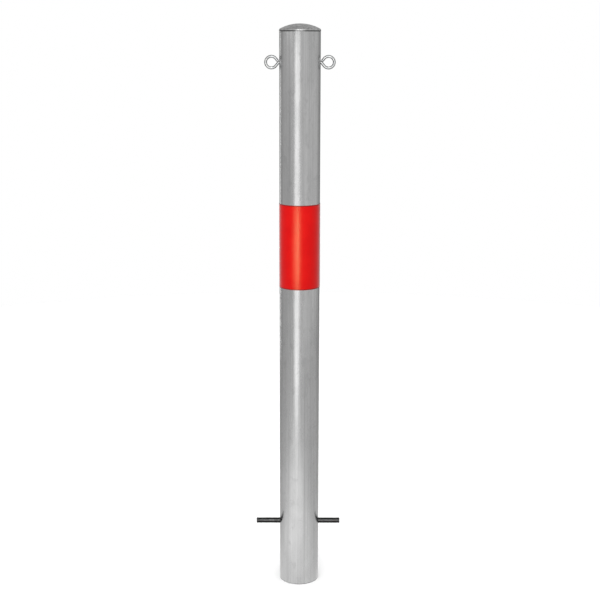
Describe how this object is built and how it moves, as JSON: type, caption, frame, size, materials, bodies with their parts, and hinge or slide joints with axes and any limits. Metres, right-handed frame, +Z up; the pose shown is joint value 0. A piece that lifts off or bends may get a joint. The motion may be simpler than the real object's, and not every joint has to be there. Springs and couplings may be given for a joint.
{
  "type": "safety bollard",
  "caption": "Round galvanised steel bollard with a domed cap, a red reflective band, chain eyes on both sides and a loose cross rod near the foot as a concrete anchor.",
  "frame": {"origin": "centre of the tube's bottom end", "axes": "+Z up along the tube; X runs through both chain eyes and along the anchor rod; the film's lap seam is towards +Y"},
  "size_m": [0.192, 0.0904, 1.2659],
  "materials": {
    "galvanised_steel": "hot-dip galvanised, satin, fine lengthwise streaks",
    "cast_aluminium": "cast, dull, faintly mottled",
    "red_reflective_film": "red retroreflective film, semi-gloss",
    "bright_zinc": "bright zinc plated",
    "raw_black_steel": "hot-rolled bar with dark mill scale"
  },
  "bodies": {
    "post": {"post_tube": "galvanised_steel", "domed_cap": "cast_aluminium", "reflective_band": "red_reflective_film", "eye_bolt_left": "bright_zinc", "eye_bolt_right": "bright_zinc", "eye_washer_left": "bright_zinc", "eye_washer_right": "bright_zinc", "eye_nut_left": "bright_zinc", "eye_nut_right": "bright_zinc"},
    "anchor_rod": {"anchor_rod": "raw_black_steel"}
  },
  "joints": [
    {"name": "anchor_rod_slide", "type": "slide", "parent": "post", "child": "anchor_rod", "axis": [1, 0, 0], "range_m": [-0.145, 0.145]}
  ]
}
